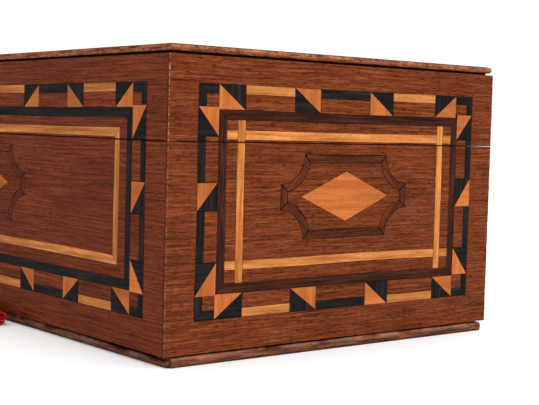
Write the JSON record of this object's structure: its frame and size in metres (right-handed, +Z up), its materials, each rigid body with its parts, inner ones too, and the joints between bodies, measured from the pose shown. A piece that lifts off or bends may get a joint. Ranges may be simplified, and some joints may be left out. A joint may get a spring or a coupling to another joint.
{
  "type": "inlaid wooden box",
  "caption": "Rectangular walnut box with a hinged lid, geometric wood inlay on every face, brass hinges, a box lock and a key with a tassel.",
  "frame": {"origin": "centre of the underside of the box, on the surface it stands on", "axes": "+X to the box's right along its width, seen from the front, +Y from the front to the back, +Z up"},
  "size_m": [0.3516, 0.2363, 0.1357],
  "materials": {
    "walnut": "polished walnut, red brown, fine horizontal grain",
    "ebony": "blue-black ebonised wood",
    "rosewood": "dark brown rosewood",
    "boxwood": "yellow boxwood, polished",
    "satinwood": "orange satinwood, polished",
    "pine": "plain softwood, unpolished",
    "brass": "old brass, lightly tarnished",
    "steel": "worn steel",
    "velvet": "dark red velvet",
    "silk": "red silk thread"
  },
  "bodies": {
    "box": {"bottom_board": "pine", "base_moulding_front": "walnut", "base_moulding_right": "walnut", "base_moulding_back": "walnut", "base_moulding_left": "walnut", "front_wall": "walnut", "right_wall": "walnut", "back_wall": "walnut", "left_wall": "walnut", "front_border_lower": "ebony", "right_border_lower": "ebony", "back_border_lower": "ebony", "left_border_lower": "ebony", "front_string_lower": "boxwood", "right_string_lower": "boxwood", "back_string_lower": "boxwood", "left_string_lower": "boxwood", "front_cartouche": "rosewood", "right_cartouche": "rosewood", "back_cartouche": "rosewood", "left_cartouche": "rosewood", "front_diamond": "satinwood", "right_diamond": "satinwood", "back_diamond": "satinwood", "left_diamond": "satinwood", "keyhole_liner": "brass", "lock_case": "brass", "hinge_left_body_leaf": "brass", "hinge_right_body_leaf": "brass", "hinge_left_pin": "steel", "hinge_right_pin": "steel", "floor_lining": "velvet", "tassel_cord": "silk", "tassel_head": "silk", "tassel_skirt": "silk"},
    "lid": {"lid_top_board": "walnut", "lid_front_rail": "walnut", "lid_right_rail": "walnut", "lid_back_rail": "walnut", "lid_left_rail": "walnut", "front_border_upper": "ebony", "right_border_upper": "ebony", "back_border_upper": "ebony", "left_border_upper": "ebony", "front_string_upper": "boxwood", "right_string_upper": "boxwood", "back_string_upper": "boxwood", "left_string_upper": "boxwood", "top_border": "ebony", "top_string": "boxwood", "top_cartouche": "rosewood", "top_diamond": "satinwood", "hinge_left_lid_leaf": "brass", "hinge_right_lid_leaf": "brass", "link_plate": "brass", "lid_lining": "velvet"},
    "key": {"key": "steel"},
    "bolt": {"lock_bolt": "steel"}
  },
  "joints": [
    {"name": "lid_hinge", "type": "hinge", "parent": "box", "child": "lid", "pos_m": [0, 0.1024, 0.0952], "axis": [-1, 0, 0], "range_deg": [0, 100]},
    {"name": "key_turn", "type": "hinge", "parent": "box", "child": "key", "pos_m": [0, -0.1, 0.0712], "axis": [0, 1, 0], "range_deg": [0, 180]},
    {"name": "bolt_slide", "type": "slide", "parent": "box", "child": "bolt", "axis": [1, 0, 0], "range_m": [0, 0.006]}
  ],
  "couplings": [
    {"joint": "bolt_slide", "follows": "key_turn", "m_per_rad": 0.0019099}
  ]
}
